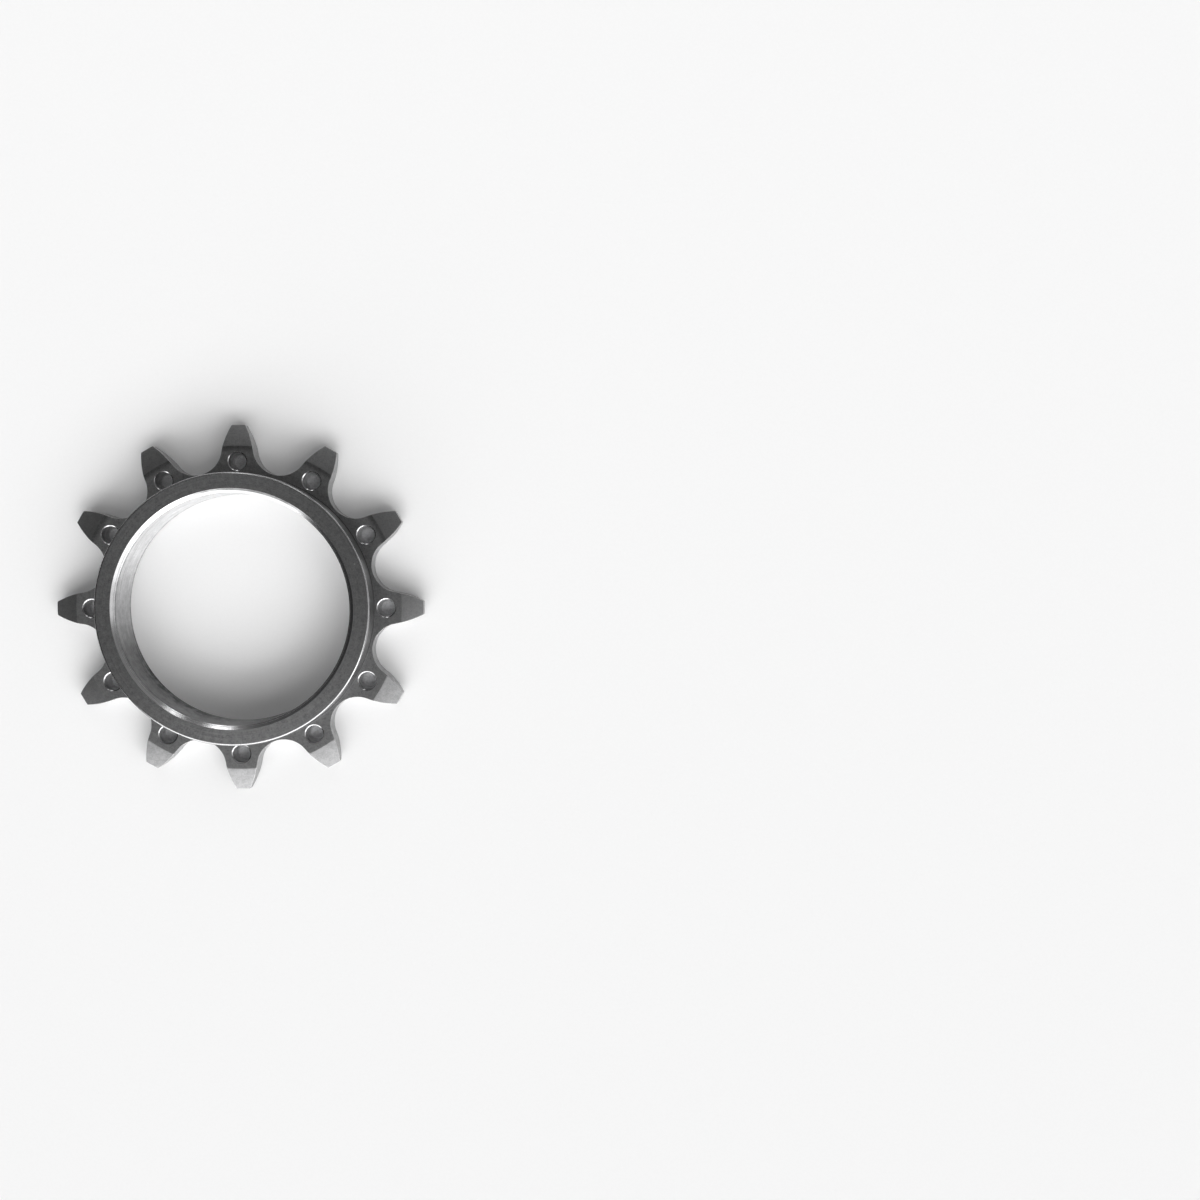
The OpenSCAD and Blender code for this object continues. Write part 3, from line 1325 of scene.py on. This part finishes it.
class RoundPattern:
    """Geometry Nodes tree that repeats a sector round the axis and gives each zone its finish."""

    join_distance = 0.001 * MM

    def __init__(self, finishes: dict[Zone, bpy.types.Material]) -> None:
        """Builds the tree.

        Args:
            finishes: Material of each zone.
        """
        self.finishes = finishes
        self.tree = bpy.data.node_groups.new("round_pattern", "GeometryNodeTree")
        self._sockets()
        wires = NodeTree(self.tree)
        ins, outs = wires.add("NodeGroupInput"), wires.add("NodeGroupOutput")
        wires.link(self._painted(wires, ins, self._repeated(wires, ins)), outs.inputs["Geometry"])

    @staticmethod
    def _label(zone: Zone) -> str:
        """Name of the input that holds a zone's finish."""
        return f"Finish {zone.name.lower()}"

    def _sockets(self) -> None:
        """Makes the tree's named inputs and its output."""
        face = self.tree.interface
        face.new_socket(name="Geometry", in_out="INPUT", socket_type="NodeSocketGeometry")
        teeth = face.new_socket(name="Teeth", in_out="INPUT", socket_type="NodeSocketInt")
        teeth.default_value = CogSize.teeth
        join = face.new_socket(name="Join distance", in_out="INPUT", socket_type="NodeSocketFloat")
        join.default_value = self.join_distance
        for zone in Zone:
            face.new_socket(name=self._label(zone), in_out="INPUT", socket_type="NodeSocketMaterial")
        face.new_socket(name="Geometry", in_out="OUTPUT", socket_type="NodeSocketGeometry")

    @staticmethod
    def _repeated(wires: NodeTree, ins: bpy.types.Node) -> bpy.types.NodeSocket:
        """Turns a copy of the sector to each tooth's place and joins the copies.

        Args:
            wires: Wiring helper of the tree.
            ins: The tree's input node.

        Returns:
            Socket of the whole shape.
        """
        points = wires.add("GeometryNodePoints")
        wires.link(ins.outputs["Teeth"], points.inputs["Count"])
        index = wires.add("GeometryNodeInputIndex").outputs[0]
        step = wires.math("DIVIDE", 2 * math.pi, ins.outputs["Teeth"])
        turn = wires.add("ShaderNodeCombineXYZ")
        wires.link(wires.math("MULTIPLY", index, step), turn.inputs["Z"])
        rotation = wires.add("FunctionNodeEulerToRotation")
        wires.link(turn.outputs[0], rotation.inputs[0])
        copies = wires.add("GeometryNodeInstanceOnPoints")
        wires.link(points.outputs[0], copies.inputs["Points"])
        wires.link(ins.outputs["Geometry"], copies.inputs["Instance"])
        wires.link(rotation.outputs[0], copies.inputs["Rotation"])
        real = wires.add("GeometryNodeRealizeInstances")
        wires.link(copies.outputs[0], real.inputs[0])
        merged = wires.add("GeometryNodeMergeByDistance")
        wires.link(real.outputs[0], merged.inputs["Geometry"])
        wires.link(ins.outputs["Join distance"], merged.inputs["Distance"])
        smooth = wires.add("GeometryNodeSetShadeSmooth")
        wires.link(merged.outputs[0], smooth.inputs["Geometry"])
        return smooth.outputs[0]

    def _painted(
        self, wires: NodeTree, ins: bpy.types.Node, current: bpy.types.NodeSocket
    ) -> bpy.types.NodeSocket:
        """Gives the faces of each zone their finish.

        Args:
            wires: Wiring helper of the tree.
            ins: The tree's input node.
            current: Socket of the shape.

        Returns:
            Socket of the shape with its finishes.
        """
        zone_value = wires.add("GeometryNodeInputNamedAttribute", data_type="INT")
        zone_value.inputs["Name"].default_value = "zone"
        for zone in Zone:
            same = wires.add("FunctionNodeCompare", data_type="INT", operation="EQUAL")
            wires.link(zone_value.outputs["Attribute"], same.inputs[2])
            same.inputs[3].default_value = int(zone)
            paint = wires.add("GeometryNodeSetMaterial")
            wires.link(current, paint.inputs["Geometry"])
            wires.link(same.outputs[0], paint.inputs["Selection"])
            wires.link(ins.outputs[self._label(zone)], paint.inputs["Material"])
            current = paint.outputs[0]
        return current

    def apply(self, name: str, mesh: bpy.types.Mesh, teeth: int) -> bpy.types.Object:
        """Repeats a sector mesh and returns the finished plain object.

        Args:
            name: Name of the object.
            mesh: Mesh of one sector.
            teeth: How often it is repeated.

        Returns:
            An object with a plain mesh and no modifier.
        """
        for material in self.finishes.values():
            mesh.materials.append(material)
        source = bpy.data.objects.new(f"{name}_sector", mesh)
        bpy.context.scene.collection.objects.link(source)
        modifier = source.modifiers.new("round_pattern", "NODES")
        modifier.node_group = self.tree
        values: dict[str, object] = {"Teeth": teeth, "Join distance": self.join_distance}
        values.update({self._label(zone): material for zone, material in self.finishes.items()})
        for item in self.tree.interface.items_tree:
            if item.item_type == "SOCKET" and item.in_out == "INPUT" and item.name in values:
                modifier[item.identifier] = values[item.name]
        bpy.context.view_layer.update()
        graph = bpy.context.evaluated_depsgraph_get()
        plain = bpy.data.meshes.new_from_object(source.evaluated_get(graph), depsgraph=graph)
        plain.name = name
        source.modifiers.clear()
        bpy.data.objects.remove(source, do_unlink=True)
        made = bpy.data.objects.new(name, plain)
        bpy.context.scene.collection.objects.link(made)
        return made


def face_outwards(piece: bpy.types.Object) -> int:
    """Turns every face of a closed mesh outwards.

    Args:
        piece: Object whose mesh is set right.

    Returns:
        The number of open or doubled edges, which is 0 on a closed mesh.
    """
    work = bmesh.new()
    work.from_mesh(piece.data)
    bmesh.ops.recalc_face_normals(work, faces=work.faces)
    if work.calc_volume(signed=True) < 0:
        bmesh.ops.reverse_faces(work, faces=work.faces)
    loose = sum(1 for e in work.edges if len(e.link_faces) != 2)
    work.to_mesh(piece.data)
    work.free()
    piece.data.update()
    return loose


@dataclass
class Cog:
    """The cog, as it shows in the render."""

    size: CogSize = field(default_factory=CogSize)

    def build(self, effects: Effects) -> bpy.types.Object:
        """Builds and dresses the cog.

        Args:
            effects: The shared node groups.

        Returns:
            The finished object.
        """
        finishes = {zone: finish.dress(effects) for zone, finish in FINISHES.items()}
        sector = CogSector(self.size).build()
        piece = RoundPattern(finishes).apply("cog_body", sector, self.size.teeth)
        loose = face_outwards(piece)
        log.info("cog: %d faces, %d open edges", len(piece.data.polygons), loose)
        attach(piece, "root")
        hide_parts("cog")
        return piece


@dataclass(frozen=True)
class Glow:
    """A soft-edged patch of the room, between two azimuths and two elevations in degrees.

    It adds its level to the room's light, and a level below zero makes the patch darker.
    """

    azimuths: Point2
    elevations: Point2
    level: float
    soft: Point2 = (3.0, 3.0)

    def wire(
        self, wires: NodeTree, azimuth: bpy.types.NodeSocket, elevation: bpy.types.NodeSocket
    ) -> bpy.types.NodeSocket:
        """Adds the patch to the world's nodes.

        Args:
            wires: Wiring helper of the world.
            azimuth: Azimuth of the direction, in degrees.
            elevation: Elevation of the direction, in degrees.

        Returns:
            The patch's light level.
        """
        across = self._window(wires, azimuth, self.azimuths, self.soft[0])
        upward = self._window(wires, elevation, self.elevations, self.soft[1])
        return wires.math("MULTIPLY", wires.math("MULTIPLY", across, upward), self.level)

    @staticmethod
    def _window(
        wires: NodeTree, value: bpy.types.NodeSocket, span: Point2, soft: float
    ) -> bpy.types.NodeSocket:
        """A mask that is 1 inside a span and falls softly to 0 outside it.

        Args:
            wires: Wiring helper of the world.
            value: The value that the mask follows.
            span: Start and end of the span.
            soft: Half width of each soft edge.

        Returns:
            The mask's socket.
        """
        rise = wires.spread(value, span[0] - soft, span[0] + soft)
        fall = wires.spread(value, span[1] - soft, span[1] + soft, 1.0, 0.0)
        for socket in (rise, fall):
            socket.node.interpolation_type = "SMOOTHSTEP"
        return wires.math("MULTIPLY", rise, fall)


@dataclass(frozen=True)
class Lamp:
    """A flat soft light that faces the cog, placed by angles in degrees and sizes in metres."""

    name: str
    azimuth: float
    elevation: float
    distance: float
    width: float
    height: float
    radiance: float

    def place(self) -> bpy.types.Object:
        """Adds the lamp.

        Returns:
            The light object.
        """
        data = bpy.data.lights.new(self.name, "AREA")
        data.shape = "RECTANGLE"
        data.size, data.size_y = self.width, self.height
        data.energy = self.radiance * math.pi * self.width * self.height
        lamp = bpy.data.objects.new(self.name, data)
        bpy.context.scene.collection.objects.link(lamp)
        az, el = math.radians(self.azimuth), math.radians(self.elevation)
        aim = Vector((math.cos(az) * math.cos(el), math.sin(az) * math.cos(el), math.sin(el)))
        lamp.location = aim * self.distance
        lamp.rotation_euler = aim.to_track_quat("Z", "Y").to_euler()
        return lamp


@dataclass
class Studio:
    """White paper under the cog, soft lights and the camera."""

    lamps: tuple[Lamp, ...] = (
        Lamp(
            "far_light_left",
            azimuth=104.0, elevation=30.0, distance=1.2, width=0.17, height=0.6, radiance=3.0,
        ),
        Lamp(
            "far_light_right",
            azimuth=77.0, elevation=34.0, distance=1.2, width=0.11, height=0.6, radiance=3.0,
        ),
    )
    glows: tuple[Glow, ...] = (
        # Two bright panes of the window in front, with a dark bar between them
        Glow((-105.0, -58.5), (18.0, 44.0), 5.5),
        Glow((-55.5, -28.0), (18.0, 44.0), 5.5),
        # Its duller left pane, which is brighter low down
        Glow((-139.0, -105.0), (22.0, 44.0), 3.0),
        Glow((-139.0, -105.0), (7.0, 22.0), 4.2),
        # Paler light above the panes and below them
        Glow((-139.0, -24.0), (44.0, 69.0), 1.4),
        Glow((-105.0, -28.0), (6.0, 18.0), 0.8),
        # Light that fades out on the right
        Glow((-28.0, 4.0), (15.0, 58.0), 0.9, (8.0, 6.0)),
        Glow((-30.0, 60.0), (0.0, 62.0), 0.2, (30.0, 10.0)),
        # Darker wall on the left, in two spans that meet at 180 degrees
        Glow((150.0, 215.0), (-20.0, 24.0), -0.058, (25.0, 8.0)),
        Glow((-215.0, -150.0), (-20.0, 24.0), -0.058, (25.0, 8.0)),
        # Faint light high up behind and on the left, in two spans that meet there too
        Glow((45.0, 215.0), (34.0, 64.0), 0.09, (12.0, 8.0)),
        Glow((-215.0, -152.0), (34.0, 64.0), 0.09, (8.0, 8.0)),
    )
    room: float = 0.09
    paper_half: float = 12.0
    paper_under: float = -0.00001
    paper_greys: Point2 = (0.89, 0.93)
    fibre_scale: float = 2500.0
    camera_at: Point3 = (0.05079, 0.0089, 0.18061)
    camera_turn: Point3 = (-2.501, -0.894, -0.057)
    lens: float = 35.76

    def build(self) -> None:
        """Sets up the paper, the lights, the world and the camera."""
        self._paper()
        for lamp in self.lamps:
            lamp.place()
            log.info("lamp %s", lamp.name)
        self._world()
        self._camera()

    def _paper(self) -> None:
        """Lays the sheet of paper."""
        half = self.paper_half
        mesh = bpy.data.meshes.new("paper")
        outline = ((-half, -half), (half, -half), (half, half), (-half, half))
        mesh.from_pydata([(x, y, self.paper_under) for x, y in outline], [], [(0, 1, 2, 3)])
        paper = bpy.data.objects.new("paper", mesh)
        bpy.context.scene.collection.objects.link(paper)
        material = bpy.data.materials.new("white_paper")
        material.use_nodes = True
        wires = NodeTree(material.node_tree)
        shader = material.node_tree.nodes["Principled BSDF"]
        shader.inputs["Roughness"].default_value = 0.9
        shader.inputs["Specular IOR Level"].default_value = 0.1
        fibre = wires.noise(wires.here(), scale=self.fibre_scale, detail=4.0, rough=0.6)
        tint = wires.add("ShaderNodeMix", data_type="RGBA")
        wires.link(fibre, tint.inputs["Factor"])
        for name, grey in zip(("A", "B"), self.paper_greys):
            tint.inputs[name].default_value = (grey, grey, grey, 1.0)
        wires.link(tint.outputs["Result"], shader.inputs["Base Color"])
        mesh.materials.append(material)

    def _world(self) -> None:
        """Sets a dim room with a wide soft window in front of the cog, as patches of light."""
        world = bpy.data.worlds.new("studio")
        bpy.context.scene.world = world
        world.use_nodes = True
        wires = NodeTree(world.node_tree)
        background = world.node_tree.nodes["Background"]
        x, y, z = wires.split(wires.add("ShaderNodeTexCoord").outputs["Generated"])
        azimuth = wires.azimuth(x, y)
        elevation = wires.math("MULTIPLY", wires.math("ARCSINE", z), 180 / math.pi)
        level: bpy.types.NodeSocket | float = self.room
        for glow in self.glows:
            level = wires.math("ADD", glow.wire(wires, azimuth, elevation), level)
        wires.link(level, background.inputs["Strength"])
        background.inputs["Color"].default_value = (1.0, 1.0, 1.0, 1.0)

    def _camera(self) -> None:
        """Puts the camera at the photograph's viewing angle."""
        data = bpy.data.cameras.new("camera")
        data.sensor_width = 36.0
        data.lens = self.lens
        data.clip_start = 0.005
        camera = bpy.data.objects.new("camera", data)
        bpy.context.scene.collection.objects.link(camera)
        camera.location = self.camera_at
        camera.rotation_euler = [math.radians(a) for a in self.camera_turn]
        bpy.context.scene.camera = camera


def main() -> None:
    """Builds the cog, the paper, the lights and the camera."""
    logging.basicConfig(level=logging.INFO, format="%(name)s: %(message)s")
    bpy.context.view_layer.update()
    bpy.context.scene.view_settings.view_transform = "Standard"
    effects = Effects()
    Cog().build(effects)
    Studio().build()


if __name__ == "__main__":
    main()
